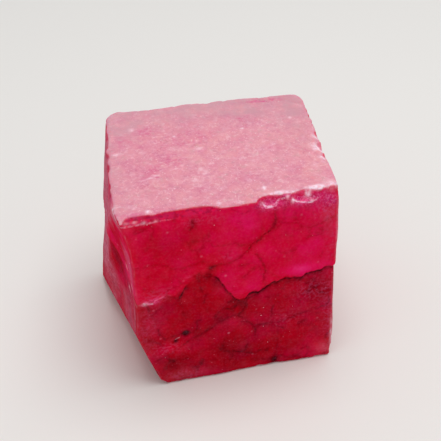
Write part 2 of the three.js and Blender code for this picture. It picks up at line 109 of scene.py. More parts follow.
stone = {
    "node": "ruby_cube",
    "voxel": 0.25,  # mesh size of the relief, in millimetres as all sizes here
    "smoothPasses": 2,
    "smoothFactor": 0.5,
    "weld": 0.001,
    # where the solid's own drawing has its origin in this frame
    "drawnAt": (0.102, 0.011),
    # the fracture right round the stone, much as drawn for the solid: its line on the front as (x, z), then
    # the waves that it follows further back as (height, length along x, length along y, start)
    "fractureLine": [
        (-24, 17.2), (-13, 16.3), (-10.5, 16.1), (-9.2, 16.6), (-8.6, 16.8), (-7.6, 16), (-7.1, 16),
        (-6.7, 16.9), (-5.7, 18.1), (-4.8, 19), (-4.1, 19.3), (-2.7, 19.2), (-1.8, 18.9), (-1.3, 18.2),
        (-0.6, 16.7), (0, 15.3), (0.6, 14.4), (1.4, 13.8), (2.3, 13.8), (2.8, 14.4), (3.8, 14.8),
        (4.9, 14.9), (6.2, 15.7), (7.6, 16.2), (10.7, 16), (12.2, 16.6), (15, 16.9), (24, 17.6),
    ],
    "fractureLevel": 16.6,
    "fractureWaves": [(1.1, 4.3, None, 0.6), (1, None, 3.4, 2.2), (0.35, 1.5, 1.5, 0)],
    "fractureTurn": (-13, 2),  # the depths between which the line gives way to the waves
    # and small ripples on all of it, as (height, length, start), and how they lean towards the back
    "fractureRipples": [(0.16, 0.47, 0.4), (0.11, 0.26, 1.9), (0.07, 0.15, 0)],
    "rippleLean": 0.6,
    # lesser cracks that show on the front, as (how dark, points as (x, z)); they die out inside
    "crackReach": (-17, -7),
    "cracks": [
        (0.8, [(6.9, 28.2), (6.8, 26.8), (6.9, 26.3), (6.5, 25.5), (5.6, 24.7), (4.6, 24), (3.6, 23.3),
                (3, 22.5)]),
        (0.45, [(3, 22.5), (1.8, 21.5), (0.2, 20.8), (-1.2, 20.9), (-2.4, 20.6)]),
        (0.55, [(3.2, 22.6), (4, 21.6), (4.7, 20.7), (5.2, 19.5), (5.4, 18.2), (5.1, 17.2), (5.3, 16.2),
                (5.6, 15.2)]),
        (0.34, [(6.9, 26.3), (8.2, 25.9), (9.8, 25.6), (10.6, 24.9), (11.7, 24.3), (12.7, 24.6),
                (14, 25.2), (15.6, 25.6)]),
        (0.34, [(2.1, 13.7), (2.5, 12.6), (2.1, 11.5), (1.1, 11), (-0.4, 10.9), (-1.7, 10.2),
                (-2.8, 9.4), (-4, 8.7), (-5.4, 8.3), (-6.6, 7.4), (-8, 6.4), (-9.2, 5.6),
                (-10.8, 5)]),
        (0.22, [(0.8, 14.2), (-0.4, 13.1), (-1.2, 12.3), (-2, 11.4)]),
        (0.42, [(1.3, 10.9), (2.6, 9.6), (3.6, 8.5), (3.9, 7.6), (3.9, 6.6)]),
        (0.36, [(3.6, 8.5), (5.4, 8.2), (7.2, 8.1), (9, 8.6), (10.6, 9.2), (12.2, 9.4)]),
        (0.18, [(-7.4, 16), (-6.7, 14.6), (-6.5, 13.2), (-6.3, 12)]),
        (0.16, [(6.9, 1), (7.1, 4), (7.2, 6), (7.1, 8)]),
        (0.3, [(-12.7, 22.5), (-9.4, 22.6), (-7.6, 21.5), (-6.2, 21.2), (-3.4, 21.8)]),
        (0.3, [(-3.2, 25.2), (-2.2, 24.9), (-1.8, 24), (0, 23.9), (1.2, 24), (1.8, 23.5),
                (2.6, 23.4), (3.4, 23.6)]),
        (0.5, [(-4.5, 28.6), (-4.4, 27.8), (-4.8, 27.2)]),
    ],
    # how dark the fracture is along the front, as (x, weight), and how wide the change of colour is
    "fractureDark": [
        (-13, 0), (-11, 0.15), (-9.6, 0.35), (-7.6, 0.3), (-7, 0.8), (-6.4, 0.8), (-5.6, 0.2), (-4.4, 0.1),
        (-3.6, 0.25), (-2.2, 0.35), (-1.4, 0.8), (1.2, 0.9), (2, 0.3), (2.8, 1.1), (5, 1.1), (9, 0.8),
        (12, 1), (16, 0.7),
    ],
    "fractureBlur": [(-11, 1), (-5, 1.2), (-2.6, 0.9), (-1, 0.35), (0.6, 0.25), (2.4, 0.15), (16, 0.12)],
    # where on the front the step at the fracture is worn down: passes of smoothing, then between which
    # distances from it, depths and x on the left and on the right it comes in, and the least that counts
    "wearPasses": 80,
    "wearReach": (2.4, 0.96),
    "wearDepth": (-12, -13.5),
    "wearLeft": (-10.5, -8.5),
    "wearRight": (4, 2),
    "wearLeast": 0.02,
    # painted highlights drawn as pale lines along the chips, the rim, the lip and a pit on the front: how
    # pale, from and to which depth, points as (x, z)
    "bruises": [
        (0.9, (-17, -13.3), [(5.2, 29.2), (5.6, 28.8), (6.2, 28.7), (6.7, 28.8)]),
        (0.9, (-17, -12.9), [(7, 28.9), (7.6, 29.4), (8.1, 29.7)]),
        (1.1, (-17, -13.2), [(9.4, 29.3), (9.9, 28.9), (10.7, 28.7), (11.8, 28.5), (12.6, 28.8), (13, 29.2)]),
        (0.36, (-17, -14.75), [(-14.6, 29.5), (-12.6, 29.5), (-10, 29.5)]),
        (0.22, (-17, -14.65), [(-10, 29.5), (-6, 29.5)]),
        (0.6, (-17, -12), [(-11.9, 16.15), (-11.3, 15.95), (-10.7, 15.8)]),
        (0.25, (-17, -12), [(-10.6, 16), (-9.9, 16.6), (-9.2, 17)]),
        (0.25, (-17, -12), [(-7.9, 8.55), (-7.3, 8.8)]),
    ],
    # patches of the skin, each as (how much, middle, size); these are lighter or darker: partly the stone's
    # own tone, partly painted shade in the pits, the notch, the scar on the left side and along the fracture
    # step, and a painted glow above the fracture
    "lights": [
        (0.24, (10.6, -14, 17.5), (3, 5, 0.9)), (0.12, (1.5, -14, 27), (2.6, 5, 2.4)),
        (0.12, (2, -14, 16.2), (2.6, 5, 1.6)), (0.1, (5, -14, 22), (2, 5, 1.2)),
        (0.08, (11.5, -14, 20.5), (3, 5, 2.5)), (0.07, (-9.8, -14, 17), (2.4, 4, 1)),
        (0.2, (-8.4, -14, 7), (2.2, 4, 1.2)), (0.18, (13.4, -14, 1.8), (1.8, 4, 1.8)),
        (-0.12, (-9, -14, 25), (2.6, 4, 2.2)), (-0.1, (-5.6, -14, 26.6), (1.6, 4, 1.2)),
        (-0.3, (-6.9, -14, 16.6), (0.4, 3, 0.6)), (-0.22, (-5.9, -14, 17.7), (0.35, 3, 0.4)),
        (-0.12, (-3.4, -14, 19.6), (1.3, 3, 0.4)), (-0.3, (-2.3, -14, 20.4), (0.6, 3, 0.8)),
        (-0.08, (0.6, -14, 12.6), (1.4, 4, 1.2)), (-0.1, (0.5, -14, 13.7), (0.6, 3, 0.4)),
        (-0.18, (1.9, -14, 12.8), (0.35, 3, 0.9)), (-0.1, (-1.6, -14, 10.9), (1.6, 4, 0.9)),
        (-0.08, (-4, -14, 9.3), (1.4, 4, 0.8)), (-0.14, (6.7, -14, 26), (0.6, 3, 0.8)),
        (-0.14, (-4.4, -14, 28.2), (0.6, 3, 0.7)), (-0.1, (13, -14, 13.5), (2.4, 4, 2.4)),
        (-0.14, (-8.8, -14, 3.6), (2.2, 4, 1.4)), (-0.1, (0.5, -14, 4), (4, 4, 2.6)),
        (-0.7, (-6.4, -14, 9.4), (0.45, 3, 0.45)), (-0.5, (-7.9, -14, 8.2), (0.35, 3, 0.32)),
        (-0.4, (6.7, -14, 0.9), (0.6, 3, 0.8)), (-0.06, (-8, -14, 19.5), (3, 4, 2)),
        (0.1, (-15, 0, 15), (2.2, 16, 16)), (-0.16, (-14.4, -6, 21), (2, 3.2, 3.6)),
        (-0.22, (-14.4, -2.2, 15.4), (2, 2.4, 2.2)), (-0.06, (-14.2, -7.5, 10), (2, 3.5, 4)),
    ],
    # where the red is pinker, or purer
    "pinkness": [
        (0.4, (13, -14, 26), (4.5, 5, 6)), (0.45, (8, -14, 27.8), (5, 5, 1.6)),
        (0.3, (13, -14, 12), (4, 5, 7)), (0.3, (0, -14, 28.5), (8, 5, 2)),
        (0.25, (-11, -14, 28), (2, 5, 2)), (0.2, (5.5, -14, 20.5), (3, 5, 3)),
        (-0.3, (-7, -14, 20.5), (2.6, 5, 3.2)), (-0.35, (-4, -14, 11), (4.6, 5, 6)),
        (-0.2, (-9, -14, 2.5), (5, 5, 3)),
    ],
    # glassy places where the rim has broken away
    "fresh": [
        (1.5, (6.2, -13.6, 29.2), (1.6, 1, 0.7)), (1.6, (11.2, -13.4, 29.2), (2, 1, 0.8)),
        (1.1, (14.7, -13.2, 28.6), (1, 0.8, 1)), (1.3, (8.4, -13.2, 30.1), (0.9, 0.4, 0.3)),
        (1.5, (-11.5, -14.4, 29.72), (2.6, 1.1, 0.3)), (1.5, (-7, -14.2, 29.72), (3, 1.1, 0.3)),
        (1.5, (-3, -14, 29.72), (2.4, 1, 0.3)), (1, (-14, 8.1, 29.6), (0.6, 0.7, 0.35)),
        (1, (-14.3, 2.8, 29.6), (0.6, 0.6, 0.35)), (1, (-14.4, -0.2, 29.6), (0.6, 0.6, 0.35)),
        (0.6, (-14.5, -3.4, 29.6), (0.6, 1.2, 0.3)), (1.4, (-14.8, -7.6, 29.4), (0.8, 1.1, 0.6)),
    ],
    # scuffed, milky places, and among them clear ones
    "milky": [
        (0.1, (-15, -1, 14), (2.2, 20, 20)), (1.5, (-15.5, 7.5, 19), (2.5, 8, 9)),
        (-1, (-15, -3.4, 16.2), (2, 4.4, 5.2)), (-0.4, (-15, 2.4, 12.6), (2, 2.4, 3)),
        (-0.6, (-14, -10.2, 24.9), (1.2, 3.2, 1.6)), (1.1, (-14.7, 6, 26.6), (1.5, 9, 3)),
        (1, (-15.6, 8.5, 10), (2.5, 3, 4)), (1, (-14.6, -9.6, 27.6), (1.2, 2.6, 1.6)),
        (0.9, (-15.1, -4.2, 24.8), (1.2, 1.8, 1.2)), (0.8, (-15.3, 0, 21.8), (1.2, 2.2, 1.6)),
        (0.4, (-15.6, 2.2, 18.6), (1.2, 1.2, 1.6)), (0.32, (-14.5, -4.2, 9.5), (1.5, 2, 2.2)),
        (0.32, (-14, -8.8, 20.6), (1.5, 0.8, 2.6)), (0.36, (-13.4, -12.2, 20.5), (0.9, 1.8, 3.4)),
        (0.2, (-13.4, -10.4, 21.6), (0.9, 0.8, 2.6)), (0.42, (-14, -8.4, 9.2), (2, 4.4, 4.8)),
        (0.55, (-13.3, -12.6, 12), (0.8, 0.5, 4)), (0.4, (-15.6, 2, 9), (1.5, 2, 2.6)),
        (0.6, (-15.4, 2, 4.2), (1.2, 0.9, 1)), (0.12, (14.6, -13.5, 26.5), (1.2, 2, 2.6)),
        (0.3, (14.6, -13.5, 1.6), (1.4, 2, 1.3)), (0.14, (-6.8, -15, 1.4), (2.8, 2, 0.9)),
        (0.04, (-11.5, -15, 13), (1.8, 2, 3)), (0.4, (17, 3, 22), (3, 9, 6)),
        (0.35, (17, -4, 6), (3, 7, 5)), (0.4, (6, 15.5, 20), (8, 3, 7)),
        (0.35, (-8, 15.5, 8), (7, 3, 6)),
    ],
    # painted glow: thin lips and walls that the light comes out of, painted a brighter pink
    "flushed": [
        (1.5, (-11.2, -14.9, 16.1), (1.1, 0.8, 0.35)), (0.8, (-10, -14.9, 16.6), (1, 0.8, 0.45)),
        (0.5, (6.8, -13.4, 28.8), (1.6, 0.8, 0.5)), (0.5, (11, -13.3, 28.8), (1.8, 0.8, 0.4)),
        (0.6, (6.2, -12.4, 29.8), (1.5, 0.5, 0.3)), (0.6, (11.2, -12.2, 29.8), (1.8, 0.5, 0.3)),
        (0.5, (-5.5, -14.6, 19.7), (0.35, 0.8, 0.2)), (0.45, (-13.3, -11.6, 20.6), (1, 2.2, 3.6)),
        (0.25, (-13.4, -9, 16), (1, 3, 3)),
    ],
    # skin peppered with fine bruises
    "peppered": [
        (0.75, (14, -13.4, 27.4), (1.8, 2, 2)), (0.5, (14.5, -12.9, 29), (1.1, 1, 1)),
        (0.4, (15, -13.4, 21.5), (0.9, 2, 3.5)), (0.44, (12.4, -13.6, 13.4), (3, 2, 2)),
        (0.45, (15, -13.4, 8), (1, 2, 5)), (0.26, (8.4, -13.8, 8.8), (3.2, 2, 1.8)),
        (0.5, (-10.2, -14.6, 17.4), (2.2, 2, 1.2)), (0.35, (0, -14.6, 22), (1.2, 2, 0.8)),
        (0.5, (-9, -15, 7), (2, 2, 1.2)), (0.55, (-7, -15, 1.3), (3, 2, 1)),
        (0.35, (-11.6, -14.8, 11.5), (1.2, 2, 3.5)), (0.45, (-3, -14.6, 28.6), (3.4, 1, 0.7)),
        (0.15, (-16, 0, 12), (3, 14, 12)), (0.36, (-13.7, -9.5, 9.5), (1.5, 4.5, 6)),
        (0.45, (-13.4, -11.5, 19), (1.2, 2, 4)), (0.5, (16.5, -7, 24), (2, 5, 4)),
        (0.45, (16.5, 9, 6), (2, 5, 4)), (0.5, (-9, 15.5, 22), (5, 2, 4)),
        (0.45, (9, 15.5, 7), (5, 2, 4)),
    ],
    # painted shade: the ground top greyer towards its back and side edges; and where the red comes through
    "ashen": [
        (0.9, (0, 15, 30.1), (22, 6, 2)), (0.6, (14.5, 8, 30.1), (4, 7, 2)),
        (0.6, (-15, 0, 30.1), (2.6, 13, 2)), (0.5, (7, 10, 30.1), (3, 2, 2)),
        (0.4, (-10.5, 9, 30.1), (3, 3, 2)),
    ],
    "rosy": [
        (0.7, (-8, -3, 30.1), (1.3, 1.6, 1)), (0.6, (-5, -1.5, 30.1), (1.4, 2, 1)),
        (0.6, (-8, 7.5, 30.1), (2, 1.4, 1)), (0.6, (6, 8.5, 30.1), (1.8, 0.8, 1)),
        (0.5, (-12, 5, 30.1), (1.2, 1.6, 1)), (0.8, (-14.7, -8.6, 29.7), (0.4, 1.4, 0.4)),
        (0.7, (-14.5, -12.8, 29.5), (0.4, 0.8, 0.6)), (0.9, (-9, -5.1, 30.1), (1.4, 0.3, 1)),
        (0.6, (-0.8, 0.8, 30.1), (0.8, 0.6, 1)), (0.9, (11, 13.2, 30.1), (3.4, 0.5, 1)),
        (0.7, (-13, -13.4, 30.1), (2.6, 0.6, 1)), (0.4, (-3, 4, 30.1), (5, 2.5, 1)),
    ],
    # near-white patches: crushed skin on the top, and painted glints on the chips, the rims, the lip and the
    # right upright edge
    "crushed": [
        (1.5, (7.2, -12.4, 30.1), (1.3, 0.35, 0.2)), (1, (9.8, -12.5, 30.1), (1.2, 0.3, 0.3)),
        (1.7, (13, -12.2, 30.1), (1.5, 0.5, 0.22)), (0.8, (15.1, -11.8, 30), (0.8, 0.8, 0.5)),
        (1.5, (11.6, -12.5, 29.6), (0.32, 0.6, 0.45)), (0.9, (12, -13.4, 28.75), (0.2, 0.4, 0.2)),
        (0.8, (9.3, -13.3, 29.2), (0.25, 0.4, 0.35)), (0.8, (8.6, -13.4, 29.9), (0.25, 0.4, 0.25)),
        (0.5, (5.1, -13.2, 29.2), (0.35, 0.4, 0.3)), (1.2, (5.9, -10.9, 30.1), (0.25, 0.45, 0.3)),
        (0.5, (-10.9, -14.7, 29.6), (0.22, 0.3, 0.2)), (0.4, (-12.1, -14.5, 29.7), (0.32, 0.25, 0.2)),
        (0.4, (-9.3, -14.7, 29.6), (0.2, 0.3, 0.2)), (1.6, (-14.6, -11.2, 29.6), (0.4, 0.5, 0.4)),
        (0.9, (-13.6, -9.7, 15), (0.5, 0.6, 0.28)), (0.7, (-13.4, -12.4, 17.4), (0.4, 0.5, 0.25)),
        (0.5, (-13.6, -8.2, 17.8), (0.4, 0.6, 0.3)), (0.6, (-11.8, -14.7, 16), (0.6, 0.5, 0.22)),
        (0.4, (-14.4, -11.4, 28.8), (0.6, 1.2, 0.9)), (0.2, (-14.6, -8.8, 28.7), (0.6, 1.6, 0.7)),
        (0.6, (-13.3, -14.6, 29.2), (0.5, 0.3, 0.5)), (0.3, (-13.2, -14.2, 15.6), (0.4, 0.6, 0.25)),
        (1.6, (15.8, -2.1, 29.7), (0.9, 0.9, 0.7)), (1.4, (15.7, -4.8, 29.7), (0.7, 0.5, 0.6)),
        (1.2, (16.1, 1, 29.7), (0.6, 0.6, 0.6)), (0.6, (15.9, -13.3, 24), (0.22, 0.5, 4)),
        (0.6, (15.7, -13.4, 12.5), (0.22, 0.5, 3)), (0.6, (15.4, -13.4, 4.5), (0.22, 0.5, 3)),
        (0.7, (-9.9, -5.5, 30.1), (0.5, 0.16, 0.5)), (0.9, (-8.9, -5.1, 30.1), (0.5, 0.18, 0.5)),
        (0.9, (-8, -4.6, 30.1), (0.4, 0.18, 0.5)), (0.6, (-1.7, -4.3, 30.1), (0.3, 0.45, 0.4)),
        (0.6, (-1.2, -5.5, 30.1), (0.35, 0.5, 0.4)), (0.6, (-0.8, -6.8, 30.1), (0.25, 0.6, 0.4)),
        (0.5, (-0.9, 1.2, 30.1), (0.7, 0.4, 0.4)), (0.4, (-0.1, -3.2, 30.1), (0.35, 0.35, 0.4)),
        (0.3, (-4, 2, 30.1), (0.9, 0.25, 0.4)), (0.8, (-12.9, 2.1, 30.1), (0.6, 0.3, 0.4)),
        (1.5, (-10.1, 8.7, 30.1), (0.3, 0.3, 0.4)), (1.4, (-10, -13, 30.1), (0.35, 0.3, 0.4)),
        (1, (-14.7, -12, 30.1), (0.3, 0.3, 0.4)), (0.9, (-11.9, -11.9, 30.1), (0.25, 0.25, 0.4)),
        (0.9, (-2.9, -7, 30.1), (0.3, 0.2, 0.4)), (0.9, (-0.7, -13.1, 30.1), (0.3, 0.2, 0.4)),
        (0.9, (13.6, 7, 30.1), (0.25, 0.3, 0.4)), (0.8, (6.1, 5.5, 30.1), (0.25, 0.25, 0.4)),
        (0.8, (-4.2, 5.4, 30.1), (0.25, 0.2, 0.4)), (0.8, (-1.1, 3.4, 30.1), (0.25, 0.2, 0.4)),
    ],
}


def fractureHeight(x, y):
    # height of the fracture through the whole stone
    x, y = x - stone["drawnAt"][0], y - stone["drawnAt"][1]
    front = np.interp(x, *zip(*stone["fractureLine"]))
    back = stone["fractureLevel"]
    for height, lengthX, lengthY, start in stone["fractureWaves"]:
        turn = (x / lengthX if lengthX else 0) + (y / lengthY if lengthY else 0)
        back = back + height * np.sin(turn + start)
    ripples = sum(height * np.sin((x + stone["rippleLean"] * y) / length + start)
                  for height, length, start in stone["fractureRipples"])
    return front + (back - front) * smoothStep(*stone["fractureTurn"], y) + ripples


def patches(points, name):
    # the sum of that list's soft patches at each point
    total = np.zeros(len(points))
    for change, middle, size in stone[name]:
        total += change * np.exp(-(((points - middle) / size) ** 2).sum(axis=1))
    return total


def storeValues(mesh, name, values):
    layer = mesh.attributes.new(name, "FLOAT", "POINT")
    layer.data.foreach_set("value", values.astype(np.float32))


def readVectors(mesh, name):
    # the places ("co") or the normals of all vertices, a row for each
    values = np.empty(len(mesh.vertices) * 3, dtype=np.float32)
    mesh.vertices.foreach_get(name, values)
    return values.reshape(-1, 3).astype(float)


def plainMesh(holder):
    # the object's mesh with its modifiers applied, in place of the one that it had
    graph = bpy.context.evaluated_depsgraph_get()
    result = bpy.data.meshes.new_from_object(holder.evaluated_get(graph), preserve_all_data_layers=True,
                                             depsgraph=graph)
    holder.modifiers.clear()
    holder.data = result
    return result


def newObject(name, data):
    made = bpy.data.objects.new(name, data)
    bpy.context.scene.collection.objects.link(made)
    return made


def mergedSolid():
    # the solid's triangles, joined at their corners
    cells = bmesh.new()
    cells.from_mesh(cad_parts[stone["node"]].data)
    bmesh.ops.remove_doubles(cells, verts=cells.verts, dist=stone["weld"] * mm)
    mesh = bpy.data.meshes.new("mergedSolid")
    cells.to_mesh(mesh)
    cells.free()
    return mesh


def markSheets(name, listed):
    # each mark as a strip that runs in from the front, its weight on its faces
    mesh = bpy.data.meshes.new(name)
    corners, faces, weights = [], [], []
    for weight, reach, points in listed:
        for k, (x, z) in enumerate(points):
            corners += [(x * mm, y * mm, z * mm) for y in reach]
            if k:
                last = len(corners)
                faces.append((last - 4, last - 3, last - 1, last - 2))
                weights.append(weight)
    mesh.from_pydata(corners, [], faces)
    layer = mesh.attributes.new("weight", "FLOAT", "FACE")
    layer.data.foreach_set("value", weights)
    return newObject(name, mesh)


def addSmoothing(made, name, passes):
    smooth = made.modifiers.new(name, "SMOOTH")
    smooth.factor = stone["smoothFactor"]
    smooth.iterations = passes
    return smooth


def meshedStone(solid):
    # the solid as an even mesh, fine enough to carry relief
    made = newObject("rubyStone", solid)
    remesh = made.modifiers.new("remesh", "REMESH")
    remesh.mode = "VOXEL"
    remesh.voxel_size = stone["voxel"] * mm
    remesh.use_smooth_shade = True
    addSmoothing(made, "smooth", stone["smoothPasses"])
    plainMesh(made)
    return made


def wearStep(made):
    # the step at the fracture is worn down to a soft slope along part of the front
    x, y, z = (readVectors(made.data, "co") / mm).T
    gap = np.abs(z - fractureHeight(x, y))
    soft = smoothStep(*stone["wearReach"], gap) * smoothStep(*stone["wearDepth"], y)
    soft *= smoothStep(*stone["wearLeft"], x) * smoothStep(*stone["wearRight"], x)
    group = made.vertex_groups.new(name="wornStep")
    for k in np.flatnonzero(soft > stone["wearLeast"]):
        group.add([int(k)], float(soft[k]), "REPLACE")
    addSmoothing(made, "wear", stone["wearPasses"]).vertex_group = group.name
    plainMesh(made)
    made.vertex_groups.clear()


marking = {
    # the values of the normal between which the skin comes to count as front, left side, top or base
    "front": (0.5, 0.9),
    "left": (0.6, 0.9),
    "top": (0.4, 0.65),
    "base": (0.55, 0.85),
    # how far below the top and above the base the ground skin fades out, in millimetres
    "topDepth": (0.36, 0.16),
    "baseHeight": (0.35, 0.12),
    # between which it counts as broken away, by how fresh it is, and as a worn edge with a painted highlight:
    # by how sharply it turns, how far from the fracture, how far above the base and, for its full strength,
    # how high
    "brokenAway": (0.2, 0.6),
    "edgeBend": (0.28, 0.46),
    "edgeOffFracture": (0.6, 1.2),
    "edgeOffBase": (0.4, 1.2),
    "edgeHeight": (27, 29),
    "lowEdge": 0.18,
    # the rim above the front, by height and by depth; and the bites in it that are clean enough to shine,
    # which also get painted glints
    "rimHeight": (27.5, 28.5),
    "rimDepth": (-11.5, -12.5),
    "shinyFrom": (3, 4),
    # on the other sides, and what the left side takes off: how soft and dark the fracture is, how dark the
    # net of cracks, and how much less splintered the left side is than the rest
    "sideBlur": 0.5,
    "sideDark": (0.75, 0.5),
    "sideNet": (0.62, 0.4),
    "leftSplinters": 0.4,
    "leastSplinters": 0.15,
    # how light the stone is under the fracture, how much painted light lies above it and, with how far that
    # reaches, how much painted glow along its lip, and how much painted shade just below it
    "tone": 0.37,
    "paintedLightAbove": 0.21,
    "paintedGlowAtLip": (0.06, 1.5),
    "paintedShadeUnder": (0.1, 0.8),
}


def markStone(made):
    # what the material and the relief need to know at each point of the skin
    mesh = made.data
    points = readVectors(mesh, "co") / mm
    facing = readVectors(mesh, "normal")
    x, y, z = points.T
    height = cadBox[1][2] / mm

    def share(name, value):
        return smoothStep(*marking[name], value)

    front = share("front", -facing[:, 1])
    left = share("left", -facing[:, 0])
    patched = {name: np.clip(patches(points, name), 0, 1)
               for name in ("fresh", "milky", "peppered", "flushed", "ashen", "rosy", "crushed")}
    unbroken = 1 - share("brokenAway", patched["fresh"])

    gap = z - fractureHeight(x, y)
    blur = front * np.interp(x, *zip(*stone["fractureBlur"])) + (1 - front) * marking["sideBlur"]
    above = smoothStep(-blur, blur, gap)
    dark, net = ((1 - front) * (most - less * left)
                 for most, less in (marking["sideDark"], marking["sideNet"]))
    dark += front * np.interp(x, *zip(*stone["fractureDark"]))
    top = share("top", facing[:, 2]) * share("topDepth", height - z)
    base = share("base", -facing[:, 2]) * share("baseHeight", z)
    ground = np.maximum(top, base)
    # the painted shade greys only the ground top and base
    patched["ashen"] *= ground
    across = np.hypot(facing[:, 0], facing[:, 1])
    bend = np.maximum(np.abs(facing[:, 0] * facing[:, 1]), np.abs(facing[:, 2]) * across)
    # worn edges with a painted highlight, strongest high up
    worn = share("edgeBend", bend) * share("edgeOffFracture", np.abs(gap)) * share("edgeOffBase", z)
    worn *= marking["lowEdge"] + (1 - marking["lowEdge"]) * share("edgeHeight", z)
    worn *= unbroken * (1 - share("rimHeight", z) * share("rimDepth", y))
    splinters = (1 - front) * (1 - marking["leftSplinters"] * left) * unbroken
    # painted light above the fracture, a painted glow along its lip and painted shade just under it
    lipGlow, lipGlowReach = marking["paintedGlowAtLip"]
    underShade, underShadeReach = marking["paintedShadeUnder"]
    tone = marking["tone"] + marking["paintedLightAbove"] * above + lipGlow * above * np.exp(-np.abs(gap) / lipGlowReach)
    tone -= underShade * dark * np.exp(-(gap / underShadeReach) ** 2) * (gap < 0)
    stored = {
        "fractureGap": gap * mm,
        "fractureWeight": dark,
        "netWeight": net,
        "broken": np.maximum(marking["leastSplinters"], splinters),
        # the clean bites, for the clear coat and the painted glints
        "glassy": patched["fresh"] * share("shinyFrom", x),
        "ground": ground * unbroken,
        "worn": worn,
        "tone": tone + patches(points, "lights"),
        "pinkness": patches(points, "pinkness"),
    }
    for name, values in {**patched, **stored}.items():
        storeValues(mesh, name, values)
    print("stone marked,", len(points), "points")


relief = {
    "Swell Height": 0.09 * mm,
    "Swell Length": 2.6 * mm,
    "Grain Height": 0.035 * mm,
    "Grain Length": 0.8 * mm,
    "Splinter Height": 0.2 * mm,
    "Splinter Length": 1.7 * mm,
    "Splinter Stretch": 0.45,  # under 1 draws them out upright
    "Crack Depth": 0.09 * mm,
    "Crack Width": 0.45 * mm,
    "Bite Depth": 0.35 * mm,
    "Bite Length": 1.1 * mm,
    "Bite Reach": 0.7 * mm,
    "Bite Strength": 3.0,
    "Edge Angle": radians(32),
    "Crumb Density": 0.03 / mm ** 2,
    "Smallest Crumb": 0.03 * mm,
    "Largest Crumb": 0.085 * mm,
    "Lowest Crumb": 0.4 * mm,
    "Small Crumbs": 3.0,  # over 1, more of them are small
    "Seed": 7,
}


def storeOffsets(tree, skin, given, position):
    # keeps on the skin how far off the nearest crack, painted highlight line and broken edge are, and which
    # way
    cracks, bruises, solid = (
        addNode(tree, "GeometryNodeObjectInfo", None, {"Object": given[name]}, "Geometry")
        for name in ("Cracks", "PaintedGlintLines", "Solid"))
    angle = addNode(tree, "GeometryNodeInputMeshEdgeAngle", None, None, "Signed Angle")
    sharp = addNode(tree, *greater, {0: angle, 1: given["Edge Angle"]})
    edges = addNode(tree, "GeometryNodeSeparateGeometry", {"domain": "EDGE"},
                    {"Geometry": solid, "Selection": sharp})
    stored = {}
    for name, shape, part in (("cracks", cracks, "FACES"), ("bruises", bruises, "FACES"),
                              ("edge", edges, "EDGES")):
        nearest = addNode(tree, "GeometryNodeProximity", {"target_element": part},
                          {"Geometry": shape}, "Position")
        offset = addNode(tree, *vectorMinus, {0: nearest, 1: position})
        stored[name + "Offset"] = ("FLOAT_VECTOR", offset)
    for name, shape in (("cracks", cracks), ("bruises", bruises)):
        weight = addNode(tree, *readValue, {"Name": "weight"})
        weight = addNode(tree, "GeometryNodeSampleNearestSurface", None, {"Mesh": shape, "Value": weight})
        stored[name + "Weight"] = ("FLOAT", weight)
    for name, (kind, value) in stored.items():
        skin = addNode(tree, "GeometryNodeStoreNamedAttribute", {"data_type": kind, "domain": "POINT"},
                       {"Geometry": skin, "Name": name, "Value": value})
    return skin


def reliefHeight(tree, given, position):
    # what is added to the skin along its normal: swells, grain and splinters, less grooves and bites
    masks = {name: addNode(tree, *readValue, {"Name": name})
             for name in ("ground", "broken", "cracksWeight", "fractureWeight", "fractureGap")}
    rough = addNode(tree, *minus, {0: 1.0, 1: masks["ground"]})
    stretch = addNode(tree, "ShaderNodeCombineXYZ", None, {0: 1.0, 1: 1.0, 2: given["Splinter Stretch"]})
    upright = addNode(tree, *vectorTimes, {0: position, 1: stretch})
    total = 0.0
    # the last value makes a seed of its own for each
    for name, where, mask, turn in (("Swell", position, rough, 1.0), ("Grain", position, 1.0, 1.7),
                                    ("Splinter", upright, masks["broken"], 2.3)):
        seed = addNode(tree, *times, {0: given["Seed"], 1: turn})
        scale = addNode(tree, *divided, {0: 1.0, 1: given[name + " Length"]})
        raised = addNode(tree, *seededNoise, {"Vector": where, "W": seed, "Scale": scale})
        for step, other in ((minus, middleNoise), (times, given[name + " Height"]), (times, mask)):
            raised = addNode(tree, *step, {0: raised, 1: other})
        total = addNode(tree, *plus, {0: total, 1: raised})

    offsets = (addNode(tree, *readVector, {"Name": name + "Offset"}) for name in ("cracks", "edge"))
    toCrack, toEdge = (addNode(tree, *vectorLength, {0: offset}, "Value") for offset in offsets)
    toFracture = addNode(tree, *absolute, {0: masks["fractureGap"]})
    for far, weight in ((toCrack, masks["cracksWeight"]), (toFracture, masks["fractureWeight"])):
        weight = addNode(tree, *times, {0: weight, 1: rough})
        groove = addNode(tree, *fade, fallFrom(given["Crack Depth"], far, given["Crack Width"]))
        groove = addNode(tree, *times, {0: groove, 1: weight})
        total = addNode(tree, *minus, {0: total, 1: groove})

    near = addNode(tree, *fade, fallFrom(given["Bite Strength"], toEdge, given["Bite Reach"]))
    scale = addNode(tree, *divided, {0: 1.0, 1: given["Bite Length"]})
    bite = addNode(tree, *seededNoise, {"Vector": position, "W": given["Seed"], "Scale": scale})
    for step, other in ((minus, middleNoise), (larger, 0.0), (times, given["Bite Depth"]), (times, near)):
        bite = addNode(tree, *step, {0: bite, 1: other})
    return addNode(tree, *minus, {0: total, 1: bite})


